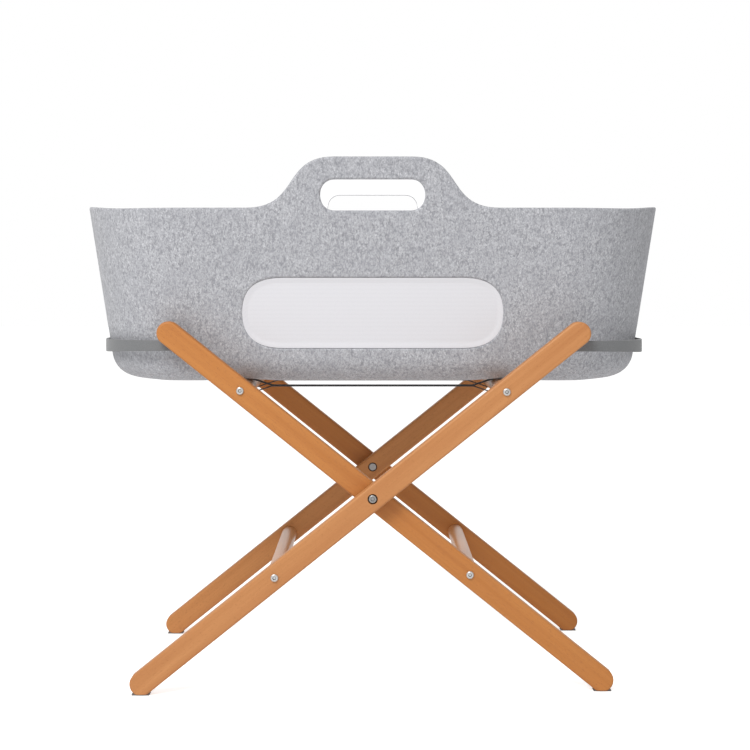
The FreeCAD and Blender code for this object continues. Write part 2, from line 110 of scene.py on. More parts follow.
class Recipe:
    """A material being put together from nodes, with the shader's own sockets set by name."""

    def __init__(self, name, **shader_values):
        self.material = bpy.data.materials.new(name)
        self.material.use_nodes = True
        self.nodes = self.material.node_tree.nodes
        self.links = self.material.node_tree.links
        self.shader = self.nodes["Principled BSDF"]
        for socket, value in shader_values.items():
            self.shader.inputs[socket.replace("_", " ")].default_value = value
        self.object_place = self.nodes.new("ShaderNodeTexCoord").outputs["Object"]

    def node(self, kind, values=None, inputs=None):
        made = self.nodes.new("ShaderNode" + kind)
        for key, value in (values or {}).items():
            setattr(made, key, value)
        for key, value in (inputs or {}).items():
            if isinstance(value, bpy.types.NodeSocket):
                self.links.new(value, made.inputs[key])
            else:
                made.inputs[key].default_value = value
        return made

    def placed(self, scale=(1, 1, 1), turn=(0, 0, 0)):
        """Object coordinates turned, then stretched, for a pattern that runs one way."""
        turned = self.node("Mapping", inputs={"Vector": self.object_place, "Rotation": turn})
        return self.node("Mapping", inputs={"Vector": turned.outputs[0], "Scale": scale}).outputs[0]

    def noise(self, vector, scale, detail=3.0, roughness=0.5, distortion=0.0):
        return self.node("TexNoise", inputs={
            "Vector": vector, "Scale": scale, "Detail": detail,
            "Roughness": roughness, "Distortion": distortion}).outputs["Fac"]

    def ramp(self, fac, *stops):
        made = self.node("ValToRGB", inputs={"Fac": fac})
        ramp = made.color_ramp
        while len(ramp.elements) < len(stops):
            ramp.elements.new(0.5)
        for element, (place, colour) in zip(ramp.elements, stops):
            element.position = place
            element.color = (*colour, 1) if isinstance(colour, tuple) else (colour, colour, colour, 1)
        return made.outputs["Color"]

    def mix(self, fac, a, b, blend_type="MIX"):
        made = self.node("Mix", {"data_type": "RGBA", "blend_type": blend_type})
        for socket, value in ((made.inputs[0], fac), (made.inputs[6], a), (made.inputs[7], b)):
            if isinstance(value, bpy.types.NodeSocket):
                self.links.new(value, socket)
            else:
                socket.default_value = (*value, 1) if isinstance(value, tuple) else value
        return made.outputs[2]

    def math(self, operation, a, b):
        return self.node("Math", {"operation": operation}, {0: a, 1: b}).outputs[0]

    def colour(self, socket):
        self.links.new(socket, self.shader.inputs["Base Color"])

    def roughness(self, fac, low, high):
        spread = self.node("MapRange", inputs={"Value": fac, "To Min": low, "To Max": high})
        self.links.new(spread.outputs[0], self.shader.inputs["Roughness"])

    def bump(self, height, distance, strength=1.0):
        """Adds a layer of relief over any that is there already."""
        made = self.node("Bump", inputs={"Height": height, "Distance": distance, "Strength": strength})
        normal = self.shader.inputs["Normal"]
        if normal.links:
            self.links.new(normal.links[0].from_socket, made.inputs["Normal"])
        self.links.new(made.outputs[0], normal)


def oiled_beech(name, turn, light, deep, oil=0.05):
    """Beech with its grain along X after turn: soft long bands, short dark flecks, fine pores."""
    wood = Recipe(name, Roughness=0.5, IOR=1.46, Specular_IOR_Level=0.38, Coat_Weight=oil, Coat_Roughness=0.3)
    bands = wood.noise(wood.placed((2.2, 60, 60), turn), 1.0, 4, 0.55, 0.6)
    streaks = wood.noise(wood.placed((14, 420, 420), turn), 1.0, 3, 0.6)
    flecks = wood.noise(wood.placed((260, 1500, 1500), turn), 1.0, 1, 0.4)
    body = wood.ramp(bands, (0.30, deep), (0.72, light))
    lined = wood.mix(wood.ramp(streaks, (0.35, 0.22), (0.62, 0.0)), body, (0.40, 0.15, 0.045))
    fleck = wood.ramp(flecks, (0.26, 0.55), (0.38, 0.0))
    wood.colour(wood.mix(fleck, lined, (0.30, 0.105, 0.032)))
    wood.roughness(streaks, 0.42, 0.58)
    wood.bump(streaks, 0.00012, 0.5)
    wood.bump(flecks, 0.00006, 0.4)
    return wood.material


RISING, FALLING, ACROSS = (0, LEG_SLOPE, 0), (0, -LEG_SLOPE, 0), (0, 0, -math.pi / 2)
# The back legs' colours are darker and redder as painted shade from the basket above them. The falling legs'
# colours are deeper, partly their own tone and partly painted shade from the light on the left.
LEG_BEECH = (("leg_a_front", "rising, pale", RISING, (0.556, 0.255, 0.093), (0.447, 0.181, 0.059)),
             ("leg_a_back", "rising, painted shade under the basket", RISING, (0.545, 0.236, 0.076), (0.438, 0.167, 0.048)),
             ("leg_b_front", "falling, deeper, partly painted shade", FALLING, (0.522, 0.211, 0.052), (0.416, 0.147, 0.031)),
             ("leg_b_back", "falling, red", FALLING, (0.500, 0.188, 0.040), (0.400, 0.132, 0.024)))
leg_beech = {node: oiled_beech("oiled beech, " + look, turn, light, deep)
             for node, look, turn, light, deep in LEG_BEECH}
dowel_beech = oiled_beech("oiled beech dowel", ACROSS, (0.600, 0.290, 0.115), (0.490, 0.205, 0.070), oil=0.8)
# Dark beech for the walls of the pivot bores: painted shade in the recess.
bore_shade_beech = oiled_beech("beech with painted bore shade", ACROSS, (0.130, 0.055, 0.020), (0.085, 0.034, 0.012))
BORE_SHADE_REACH = 0.0073
PIVOT_Z = (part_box("pivot_bolts")[0].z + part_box("pivot_bolts")[1].z) / 2

for frame_name in ("a", "b"):
    for stick in ("leg_{}_front", "leg_{}_back", "upper_rail_{}", "lower_rail_{}"):
        node = stick.format(frame_name)
        wood_piece = joined_copy(node, node + "_wood")
        wood_piece.data.materials.append(leg_beech.get(node, dowel_beech))
        wood_piece.data.materials.append(bore_shade_beech)
        # Faces inside the pivot bore get the dark beech, as painted shade.
        for face in wood_piece.data.polygons:
            corners = [wood_piece.data.vertices[k].co for k in face.vertices]
            if all(math.hypot(co.x, co.z - PIVOT_Z) < BORE_SHADE_REACH for co in corners):
                face.material_index = 1
        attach(wood_piece, "frame_" + frame_name)
        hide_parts(node)

# ---------------------------------------------------------------- bolts, nuts, inserts and screws
# Turned and pressed steel: zinc-plated button-head bolts with hexagon sockets on the rails, larger
# ones with cap nuts at the two pivots, and yellow-passivated inserts inside the rail ends.


def plated_steel(name, colour, rough):
    steel = Recipe(name, Metallic=1.0, Roughness=rough)
    scuffs = steel.noise(steel.placed((900, 900, 900)), 1.0, 4, 0.6)
    steel.colour(steel.ramp(scuffs, (0.3, tuple(0.82 * c for c in colour)), (0.7, colour)))
    steel.roughness(scuffs, rough - 0.06, rough + 0.12)
    steel.bump(scuffs, 0.00003, 0.4)
    return steel.material


zinc = plated_steel("zinc-plated steel", (0.62, 0.61, 0.60), 0.30)
aged_zinc = plated_steel("aged pivot steel", (0.36, 0.35, 0.34), 0.34)
passivated = plated_steel("yellow-passivated steel", (0.66, 0.55, 0.33), 0.38)

# Dark steel for the walls and floor rim of the key sockets: painted shade in the hollow.
socket_shade_steel = plated_steel("steel with painted socket shade", (0.13, 0.127, 0.122), 0.5)


def axis_of(node):
    low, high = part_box(node)
    return (low.x + high.x) / 2, (low.z + high.z) / 2


bolt_axes = [axis_of(node) for node in ("upper_rail_a", "lower_rail_a", "upper_rail_b", "lower_rail_b",
                                        "pivot_bolts")]
KEY_REACH = 0.0034
KEY_FLOOR_RIM = 0.0006


def in_socket(bolts, face):
    """Whether all of a face lies inside a key socket, seen along the bolt."""
    places = [bolts.data.vertices[k].co for k in face.vertices]
    return any(all(math.hypot(co.x - x, co.z - z) < KEY_REACH for co in places) for x, z in bolt_axes)


def darkened_sockets(bolts):
    """Sets a rim into each socket's floor, and paints the walls and that rim dark as painted shade in the
    socket.
    """
    edit(bolts)
    bpy.ops.mesh.select_mode(type="FACE")
    bpy.ops.mesh.select_all(action="DESELECT")
    done()
    for face in bolts.data.polygons:
        face.select = abs(face.normal.y) > 0.9 and in_socket(bolts, face)
    edit(bolts)
    bpy.ops.mesh.inset(thickness=KEY_FLOOR_RIM)
    done()
    for face in bolts.data.polygons:
        if not face.select and in_socket(bolts, face):
            face.material_index = 1


hardware = [("rail_bolts_a", "frame_a", zinc, "steel"), ("rail_bolts_b", "frame_b", zinc, "steel"),
            ("rail_inserts_a", "frame_a", passivated, "insert_steel"),
            ("rail_inserts_b", "frame_b", passivated, "insert_steel"),
            ("end_strap_screws_a", "frame_a", zinc, "steel"),
            ("end_strap_screws_b", "frame_b", zinc, "steel"),
            ("pivot_bolts", "frame_a", aged_zinc, "steel"), ("pivot_nuts", "frame_a", aged_zinc, "steel")]
for node, body, finish, slot in hardware:
    metal_piece = joined_copy(node, node + "_metal")
    metal_piece.data.materials.append(finish)
    if "bolts" in node:
        metal_piece.data.materials.append(socket_shade_steel)
        darkened_sockets(metal_piece)
    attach(metal_piece, body)
    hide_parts(node)

# ---------------------------------------------------------------- pivot washers and foot glides
# Black nylon washers keep the crossing legs apart. Thin pads of pressed wool under the feet keep
# the wood off the floor.

nylon = Recipe("black nylon", Base_Color=(0.02, 0.02, 0.021, 1), Roughness=0.5)
grain = nylon.noise(nylon.placed((1800, 1800, 1800)), 1.0, 2)
nylon.roughness(grain, 0.42, 0.6)
nylon.bump(grain, 0.00002, 0.4)
wool = Recipe("pressed wool pad", Roughness=0.95, Sheen_Weight=0.3)
hairs = wool.noise(wool.placed((1400, 1400, 1400)), 1.0, 5, 0.7)
wool.colour(wool.ramp(hairs, (0.3, 0.10), (0.7, 0.20)))
wool.bump(hairs, 0.0002, 0.6)
for node, finish in (("pivot_washers", nylon), ("foot_glides_left", wool), ("foot_glides_right", wool)):
    nodes[node].data.materials.clear()
    nodes[node].data.materials.append(finish.material)

# ---------------------------------------------------------------- webbing under the basket
# Two bands of dark polyester webbing stop the stand from opening too far. Each is led round both
# upper rails and sewn back on itself, so that two plies lie together across the middle.

rail_a_low, rail_a_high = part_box("upper_rail_a")
RAIL_Z = (rail_a_low.z + rail_a_high.z) / 2
RAIL_X = (rail_a_low.x + rail_a_high.x) / 2
WEB_PLY = 0.0009
WEB_SLACK = 0.0001
WEB_RADIUS = (rail_a_high.x - rail_a_low.x) / 2 + WEB_SLACK + WEB_PLY / 2
WEB_TURN_STEPS = 20
WEB_SELVEDGE = 0.0004
WEB_TIP = 0.037
WEB_STEPS = 14


def pick(piece, test, kind="VERT"):
    """In edit mode, selects the vertices, edges or faces whose middle passes the test."""
    bpy.ops.mesh.select_mode(type=kind)
    bpy.ops.mesh.select_all(action="DESELECT")
    done()
    mesh = piece.data
    if kind == "VERT":
        for vertex in mesh.vertices:
            vertex.select = test(vertex.co)
    elif kind == "EDGE":
        for edge in mesh.edges:
            edge.select = test((mesh.vertices[edge.vertices[0]].co + mesh.vertices[edge.vertices[1]].co) / 2)
    else:
        for face in mesh.polygons:
            face.select = test(face.center)
    bpy.ops.object.mode_set(mode="EDIT")


def settled(piece):
    """Puts the object's place into its mesh."""
    only(piece)
    bpy.ops.object.transform_apply(location=True, rotation=True, scale=True)
    return piece


def webbing_band(name, y, width):
    """Starts as one ply coming down off the left rail, is drawn across, spun round the right rail,
    drawn back under itself, spun round the left rail and joined up."""
    lean = math.acos(WEB_RADIUS / WEB_TIP)
    touch = Vector((WEB_RADIUS * math.cos(lean), 0, WEB_RADIUS * math.sin(lean)))
    tip = Vector((-RAIL_X + WEB_TIP, 0, RAIL_Z + WEB_PLY / 2))
    start = Vector((-RAIL_X, 0, RAIL_Z)) + touch
    bpy.ops.mesh.primitive_plane_add(size=1, location=((start.x + tip.x) / 2, y, (start.z + tip.z) / 2),
                                     rotation=(0, math.atan2(start.z - tip.z, tip.x - start.x), 0))
    band = bpy.context.object
    band.name = name
    band.scale = ((tip - start).length, width, 1)
    settled(band)
    edit(band)
    pick(band, lambda co: co.x > tip.x - 1e-4)
    run = (2 * (RAIL_X - WEB_TIP)) / WEB_STEPS
    around = {"steps": WEB_TURN_STEPS, "angle": -2 * (math.pi - lean), "axis": (0, 1, 0)}
    draw = bpy.ops.mesh.extrude_region_move

    def draw_to(dx, dz):
        draw(TRANSFORM_OT_translate={"value": (dx, 0, dz)})

    for _ in range(WEB_STEPS):
        draw_to(run, 0)
    rise = start.z - tip.z
    draw_to(WEB_TIP - touch.x, rise)
    bpy.ops.mesh.spin(center=(RAIL_X, y, RAIL_Z), **around)
    draw_to(touch.x - WEB_TIP, rise)
    for _ in range(WEB_STEPS):
        draw_to(-run, 0)
    draw_to(touch.x - WEB_TIP, -rise)
    bpy.ops.mesh.spin(center=(-RAIL_X, y, RAIL_Z), **around)
    bpy.ops.mesh.select_all(action="SELECT")
    bpy.ops.mesh.remove_doubles(threshold=1e-4)
    bpy.ops.mesh.normals_make_consistent(inside=False)
    done()
    thick = band.modifiers.new("ply", "SOLIDIFY")
    thick.thickness, thick.offset = WEB_PLY * 0.9, 0
    edge = band.modifiers.new("soft selvedge", "BEVEL")
    edge.width, edge.segments, edge.limit_method = WEB_SELVEDGE, 2, "ANGLE"
    apply_modifiers(band)
    smooth(band, math.radians(50))
    return band


polyester = Recipe("dark polyester webbing", Roughness=0.7, Sheen_Weight=0.2)
lengthwise = polyester.node("TexWave", {"bands_direction": "X"}, {
    "Vector": polyester.placed((1, 1, 1)), "Scale": 420.0, "Distortion": 0.4})
crosswise = polyester.node("TexWave", {"bands_direction": "Y"}, {
    "Vector": polyester.placed((1, 1, 1)), "Scale": 260.0, "Distortion": 0.3})
twill = polyester.math("MULTIPLY", lengthwise.outputs["Fac"], crosswise.outputs["Fac"])
polyester.colour(polyester.ramp(twill, (0.0, 0.035), (1.0, 0.085)))
polyester.bump(twill, 0.0003, 0.7)

for node, name in (("webbing_front", "front_webbing_band"), ("webbing_back", "back_webbing_band")):
    low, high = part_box(node)
    band = webbing_band(name, (low.y + high.y) / 2, high.y - low.y)
    band.data.materials.append(polyester.material)
    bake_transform(band)
    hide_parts(node)

# ---------------------------------------------------------------- end straps
# A grey band goes round each end of the basket and stops it from sliding off. It is a thick, close
# weave with rounded edges, screwed to the insides of the legs, and a little deeper at the far end.

STRAP_THICK = 0.003
STRAP_EDGE = 0.0013
STRAP_CORNER = 0.122
STRAP_STEPS = 22
STRAP_DEPTH_AT_LEGS = 0.0145


def end_strap(name, node):
    low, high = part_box(node)
    side = 1 if high.x > 0 else -1
    far = max(high.x, -low.x) - STRAP_THICK / 2
    near = min(abs(low.x), abs(high.x))
    front, back = low.y + STRAP_THICK / 2, high.y - STRAP_THICK / 2
    middle_z, depth = (low.z + high.z) / 2, high.z - low.z
    bpy.ops.mesh.primitive_plane_add(size=1, location=(side * near, front, middle_z),
                                     rotation=(0, math.pi / 2, 0))
    strap = bpy.context.object
    strap.name = name
    strap.scale = (depth, STRAP_THICK, 1)
    settled(strap)
    edit(strap)
    bpy.ops.mesh.select_all(action="SELECT")
    draw = bpy.ops.mesh.extrude_region_move
    corner_x = far - STRAP_CORNER
    bend = {"steps": STRAP_STEPS, "angle": -side * math.pi / 2, "axis": (0, 0, 1)}
    draw(TRANSFORM_OT_translate={"value": (side * (corner_x - near), 0, 0)})
    bpy.ops.mesh.spin(center=(side * corner_x, front + STRAP_CORNER, 0), **bend)
    draw(TRANSFORM_OT_translate={"value": (0, back - front - 2 * STRAP_CORNER, 0)})
    bpy.ops.mesh.spin(center=(side * corner_x, back - STRAP_CORNER, 0), **bend)
    draw(TRANSFORM_OT_translate={"value": (side * (near - corner_x), 0, 0)})
    bpy.ops.mesh.select_all(action="SELECT")
    bpy.ops.mesh.remove_doubles(threshold=1e-5)
    bpy.ops.mesh.normals_make_consistent(inside=False)
    done()
    for vertex in strap.data.vertices:
        share = min(1, max(0, (abs(vertex.co.x) - near) / (far - near)))
        deep = STRAP_DEPTH_AT_LEGS + (depth - STRAP_DEPTH_AT_LEGS) * share ** 3
        if vertex.co.z < middle_z:
            vertex.co.z = middle_z + depth / 2 - deep
    edge = strap.modifiers.new("round edges", "BEVEL")
    edge.width, edge.segments, edge.limit_method = STRAP_EDGE, 3, "ANGLE"
    apply_modifiers(strap)
    smooth(strap, math.radians(50))
    return strap


band_grey = Recipe("grey woven band", Roughness=0.62, Sheen_Weight=0.25)
ribs = band_grey.node("TexWave", {"bands_direction": "Z"}, {
    "Vector": band_grey.placed((1, 1, 1)), "Scale": 260.0, "Distortion": 0.5}).outputs["Fac"]
mottle = band_grey.noise(band_grey.placed((700, 700, 700)), 1.0, 4, 0.65)
band_grey.colour(band_grey.ramp(mottle, (0.25, (0.120, 0.123, 0.126)), (0.75, (0.178, 0.182, 0.186))))
band_grey.bump(ribs, 0.00012, 0.5)
band_grey.bump(mottle, 0.0001, 0.5)

for frame_name, name in (("a", "right_end_strap"), ("b", "left_end_strap")):
    strap = end_strap(name, "end_strap_" + frame_name)
    strap.data.materials.append(band_grey.material)
    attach(strap, "frame_" + frame_name)
    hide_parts("end_strap_" + frame_name)

# ---------------------------------------------------------------- felt shell
# The basket is one tub of thick grey polyester felt, pressed to shape with heat: sloping walls,
# round corners, two raised handles with hand slots, and a long window cut in each side.

shell_low, shell_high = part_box("felt_shell")
FELT = 0.008
BASE_Z = shell_low.z
HANDLE_TOP = shell_high.z
RIM_HALF_LENGTH = shell_high.x
SIDE_RIM_Z = 0.661
END_RIM_Z = 0.6685
END_SLOPE = math.tan(math.radians(8.55))
BASE_HALF_WIDTH = 0.152
SIDE_SLOPE = (shell_high.y - BASE_HALF_WIDTH) / (HANDLE_TOP - BASE_Z)
BASE_CORNER = 0.116
CORNER_GROWTH = 0.034 / (SIDE_RIM_Z - BASE_Z)
BOTTOM_RADIUS = 0.031
CORNER_STEPS = 22
BOTTOM_STEPS = 9
CUT_Z = HANDLE_TOP + 0.012
SHOULDER_TOP, SHOULDER_FOOT = 0.053, 0.174
SHOULDER_TOP_HANDLE, SHOULDER_FOOT_HANDLE = 0.072, 0.075
RISE_FROM = 0.30
PAST_END, PAST_END_RISE = 0.02, 0.0026
ABOVE_ALL = 0.8
PUNCH_REACH = 0.3
PUNCH_STEPS, RIM_STEPS = 16, 26
SLOT = {"length": 0.1435, "height": 0.042, "end": 0.020, "fullness": 0.60}
SLOT_Z = 0.6782
WINDOW = {"length": 0.360, "height": 0.098, "end": 0.055, "fullness": 0.67}
WINDOW_Z = 0.5163
FELT_EDGE = 0.0032
SAG = 0.0030
SAG_HELD = 0.030
SAG_END = 0.350
SAG_FADE = 0.060
SAG_CUTS = 17
SAG_CUT_EVERY = 0.02


def plan(z, inset):
    """Half length, half width and corner radius of the basket's outline at a height, less inset."""
    rise = z - BASE_Z
    half_length = RIM_HALF_LENGTH - (END_RIM_Z - z) * END_SLOPE
    return (half_length - inset, BASE_HALF_WIDTH + rise * SIDE_SLOPE - inset,
            BASE_CORNER + rise * CORNER_GROWTH - inset)


def oval_sheet(z, half_length, half_width, corner):
    """A flat sheet with round corners, as a new object."""
    bpy.ops.mesh.primitive_plane_add(size=2, location=(0, 0, z))
    sheet = bpy.context.object
    sheet.scale = (half_length, half_width, 1)
    settled(sheet)
    edit(sheet)
    bpy.ops.mesh.select_all(action="SELECT")
    bpy.ops.mesh.bevel(offset=corner, offset_type="OFFSET", segments=CORNER_STEPS, affect="VERTICES")
    done()
    return sheet


def tub(name, inset, low_z, bottom_radius, wall):
    """Floor outline and top outline bridged into a wall, the bottom edge rounded, then thickened."""
    floor = oval_sheet(low_z, *plan(low_z, inset))
    top = oval_sheet(CUT_Z, *plan(CUT_Z, inset))
    only(floor)
    top.select_set(True)
    bpy.ops.object.join()
    floor.name = name
    edit(floor)
    pick(floor, lambda co: co.z > CUT_Z - 1e-4, "FACE")
    bpy.ops.mesh.delete(type="ONLY_FACE")
    bpy.ops.mesh.select_mode(type="EDGE")
    bpy.ops.mesh.select_all(action="SELECT")
    bpy.ops.mesh.bridge_edge_loops()
    bpy.ops.mesh.select_all(action="SELECT")
    bpy.ops.mesh.normals_make_consistent(inside=False)
    pick(floor, lambda co: co.z < low_z + 1e-4, "EDGE")
    bpy.ops.mesh.bevel(offset=bottom_radius, offset_type="OFFSET", segments=BOTTOM_STEPS)
    done()
    thick = floor.modifiers.new("wall", "SOLIDIFY")
    thick.thickness, thick.offset, thick.use_even_offset = wall, -1, True
    apply_modifiers(floor)
    return floor


def cut(piece, tool):
    """Cuts the tool's shape out of the piece, and throws the tool away."""
    boolean = piece.modifiers.new("cut", "BOOLEAN")
    boolean.operation, boolean.solver, boolean.object = "DIFFERENCE", "EXACT", tool
    apply_modifiers(piece)
    bpy.data.objects.remove(tool)


def outlined(knots, resolution, extrude):
    """A closed smooth outline, drawn through knots of (point, handle before, handle after), as a
    filled mesh that is extrude thick to each side."""
    bpy.ops.curve.primitive_bezier_curve_add()
    drawn = bpy.context.object
    spline = drawn.data.splines[0]
    spline.bezier_points.add(len(knots) - 2)
    for knot, (point, before, after) in zip(spline.bezier_points, knots):
        knot.handle_left_type = knot.handle_right_type = "FREE"
        knot.co, knot.handle_left, knot.handle_right = (*point, 0), (*before, 0), (*after, 0)
    spline.use_cyclic_u = True
    spline.resolution_u = resolution
    drawn.data.dimensions, drawn.data.fill_mode, drawn.data.extrude = "2D", "BOTH", extrude
    only(drawn)
    bpy.ops.object.convert(target="MESH")
    edit(drawn)
    bpy.ops.mesh.select_all(action="SELECT")
    bpy.ops.mesh.remove_doubles(threshold=1e-6)
    bpy.ops.mesh.normals_make_consistent(inside=False)
    done()
    return drawn


def oblong(length, height, end, fullness, grow=0.0, extrude=PUNCH_REACH):
    """A long hole's shape with soft full ends, drawn flat."""
    x, z, flat = length / 2 + grow, height / 2 + grow, length / 2 - end
    reach = fullness * (x - flat)
    rise = fullness * z
    knots = [((flat, z), (0, z), (flat + reach, z)), ((x, 0), (x, rise), (x, -rise)),
             ((flat, -z), (flat + reach, -z), (0, -z)), ((-flat, -z), (0, -z), (-flat - reach, -z)),
             ((-x, 0), (-x, -rise), (-x, rise)), ((-flat, z), (-flat - reach, z), (0, z))]
    return outlined(knots, PUNCH_STEPS, extrude)


def punch(z, shape, grow=0.0):
    """A punch of that shape, standing across both side walls."""
    bar = oblong(grow=grow, **shape)
    bar.rotation_euler = (math.pi / 2, 0, 0)
    bar.location = (0, 0, z)
    return settled(bar)


def rim_punch(drop=0.0):
    """All the space above the rim line: level along the sides, stepping up over each handle in a
    soft shoulder, and climbing a little towards the ends."""
    past = RIM_HALF_LENGTH + PAST_END
    past_z = END_RIM_Z + PAST_END_RISE
    rise_middle = (RISE_FROM + past) / 2
    right = [((SHOULDER_TOP, HANDLE_TOP), (0, HANDLE_TOP), (SHOULDER_TOP + SHOULDER_TOP_HANDLE, HANDLE_TOP)),
             ((SHOULDER_FOOT, SIDE_RIM_Z), (SHOULDER_FOOT - SHOULDER_FOOT_HANDLE, SIDE_RIM_Z),
              (SHOULDER_FOOT, SIDE_RIM_Z)),
             ((RISE_FROM, SIDE_RIM_Z), (RISE_FROM, SIDE_RIM_Z), (rise_middle, SIDE_RIM_Z)),
             ((past, past_z), (rise_middle, SIDE_RIM_Z), (past, past_z)),
             ((past, ABOVE_ALL), (past, ABOVE_ALL), (past, ABOVE_ALL))]
    left = [tuple((-x, z) for x, z in (point, after, before)) for point, before, after in reversed(right)]
    space = outlined(right + left, RIM_STEPS, PUNCH_REACH)
    space.rotation_euler = (math.pi / 2, 0, 0)
    space.location = (0, 0, -drop)
    return settled(space)


def grey_felt():
    """Needled felt: short pale and dark hairs in every direction, a little longer up the wall,
    with faint upright streaks over a slow cloudy mottle."""
    felt = Recipe("pressed grey felt", Roughness=0.93, Specular_IOR_Level=0.25, Sheen_Weight=0.18,
                  Sheen_Roughness=0.6)
    place = felt.placed((1, 1, 0.62))
    swirl = felt.noise(place, 260.0, 3, 0.6)
    hairs = felt.noise(place, 560.0, 6, 0.72, 0.5)
    fine = felt.noise(felt.placed((1, 1, 0.45)), 1500.0, 3, 0.7, 0.4)
    cloud = felt.noise(felt.placed((1, 1, 0.6)), 42.0, 3, 0.55, 0.3)
    drawn = felt.noise(felt.placed((1, 1, 0.16)), 430.0, 2, 0.5)
    body = felt.ramp(hairs, (0.34, (0.228, 0.230, 0.250)), (0.50, (0.425, 0.429, 0.452)),
                     (0.66, (0.636, 0.640, 0.666)))
    body = felt.mix(felt.ramp(swirl, (0.36, 0.60), (0.50, 0.0)), body, (0.185, 0.187, 0.204))
    body = felt.mix(felt.ramp(fine, (0.30, 0.55), (0.45, 0.0)), body, (0.20, 0.202, 0.22))
    body = felt.mix(felt.ramp(drawn, (0.34, 0.30), (0.54, 0.0)), body, (0.26, 0.263, 0.285))
    body = felt.mix(felt.ramp(cloud, (0.34, 0.30), (0.60, 0.0)), body, (0.30, 0.303, 0.33))
    felt.colour(body)
    felt.bump(swirl, 0.0006, 0.5)
    felt.bump(hairs, 0.0005, 0.7)
    felt.bump(fine, 0.0002, 0.6)
    return felt.material


def let_down(piece):
    """Lets the floor of the tub hang a little, between and beyond the two rails that it rests on."""
    edit(piece)
    for step in range(-SAG_CUTS, SAG_CUTS + 1):
        pick(piece, lambda co: co.z < BASE_Z + BOTTOM_RADIUS, "FACE")
        bpy.ops.mesh.bisect(plane_co=(step * SAG_CUT_EVERY, 0, 0), plane_no=(1, 0, 0))
    done()
    for vertex in piece.data.vertices:
        free = 1 - math.exp(-((abs(vertex.co.x) - RAIL_X) / SAG_HELD) ** 2)
        low = min(1, max(0, 1 - (vertex.co.z - BASE_Z) / BOTTOM_RADIUS))
        fade = min(1, max(0, (SAG_END - abs(vertex.co.x)) / SAG_FADE))
        vertex.co.z -= SAG * free * low * fade


shell = tub("felt_tub", 0.0, BASE_Z, BOTTOM_RADIUS, FELT)
let_down(shell)
cut(shell, rim_punch())
cut(shell, punch(SLOT_Z, SLOT))
cut(shell, punch(WINDOW_Z, WINDOW))
soft_edge = shell.modifiers.new("pressed edges", "BEVEL")
soft_edge.width, soft_edge.segments = FELT_EDGE, 4
soft_edge.limit_method, soft_edge.angle_limit = "ANGLE", math.radians(42)
soft_edge.use_clamp_overlap = False
apply_modifiers(shell)
smooth(shell)
shell.data.materials.append(grey_felt())
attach(shell, "basket")
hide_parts("felt_shell")

# ---------------------------------------------------------------- window panels
# A smooth white knitted panel is stretched behind each window. Its border is moulded forward to
# meet the cut edge of the felt, so that the panel is a very shallow dish.

DISH_BORDER = 0.0090
DISH_DEPTH = 0.0012
DISH_SET_BACK = 0.0014
DISH_LAP = 0.0006
DISH_STEPS = 6
DISH_KNIT = 0.0012


def window_dish(name, side):
    """An oval sheet inset in steps, each step pushed further back, then laid on the sloping wall."""
    dish = oblong(grow=DISH_LAP, extrude=0, **WINDOW)
    dish.name = name
    edit(dish)
    bpy.ops.mesh.select_all(action="SELECT")
    bpy.ops.mesh.dissolve_limited(angle_limit=math.radians(1), use_dissolve_boundaries=False)
    pick(dish, lambda co: True, "FACE")
    for step in range(DISH_STEPS):
        share = [0.5 - 0.5 * math.cos(math.pi * (step + k) / DISH_STEPS) for k in (0, 1)]
        bpy.ops.mesh.inset(thickness=DISH_BORDER / DISH_STEPS)
        bpy.ops.transform.translate(value=(0, 0, -DISH_DEPTH * (share[1] - share[0])))
    done()
    lean = math.atan(SIDE_SLOPE)
    dish.rotation_euler = (math.pi / 2 + lean, 0, 0 if side < 0 else math.pi)
    wall_y = BASE_HALF_WIDTH + (WINDOW_Z - BASE_Z) * SIDE_SLOPE
    dish.location = (0, side * (wall_y - DISH_SET_BACK / math.cos(lean)), WINDOW_Z)
    settled(dish)
    thick = dish.modifiers.new("knit", "SOLIDIFY")
    thick.thickness, thick.offset = DISH_KNIT, -1
    apply_modifiers(dish)
    smooth(dish, math.radians(60))
    return dish


knit = Recipe("white window knit", Roughness=0.6, Specular_IOR_Level=0.3, Sheen_Weight=0.1)
cells = knit.node("TexVoronoi", {"feature": "F1"}, {
    "Vector": knit.placed((1, 1, 1)), "Scale": 900.0, "Randomness": 0.35}).outputs["Distance"]
knit.colour(knit.ramp(cells, (0.0, (0.682, 0.678, 0.706)), (0.75, (0.628, 0.624, 0.650))))
knit.bump(cells, 0.00015, 0.35)

for side, node, name in ((-1, "window_mesh_front", "front_window_dish"),
                         (1, "window_mesh_back", "back_window_dish")):
    dish = window_dish(name, side)
    dish.data.materials.append(knit.material)
    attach(dish, "basket")
    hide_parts(node)

# ---------------------------------------------------------------- base board and lining
# A thin hardboard stiffens the floor. Over it lies a sewn lining of white cotton jersey that covers
# the inside of the tub up to the rim and the inner faces of both handles.

LINER_BASE_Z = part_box("liner")[0].z
LINER_INSET = 0.0098
LINER_THICK = 0.0015
LINER_RIM_DROP = 0.002
LINER_SLOT_MARGIN = 0.0003

hardboard = Recipe("hardboard", Roughness=0.7)
chips = hardboard.noise(hardboard.placed((500, 500, 500)), 1.0, 5, 0.7)
hardboard.colour(hardboard.ramp(chips, (0.3, (0.17, 0.10, 0.055)), (0.7, (0.28, 0.18, 0.10))))
hardboard.bump(chips, 0.0001, 0.5)
nodes["base_board"].data.materials.clear()
nodes["base_board"].data.materials.append(hardboard.material)


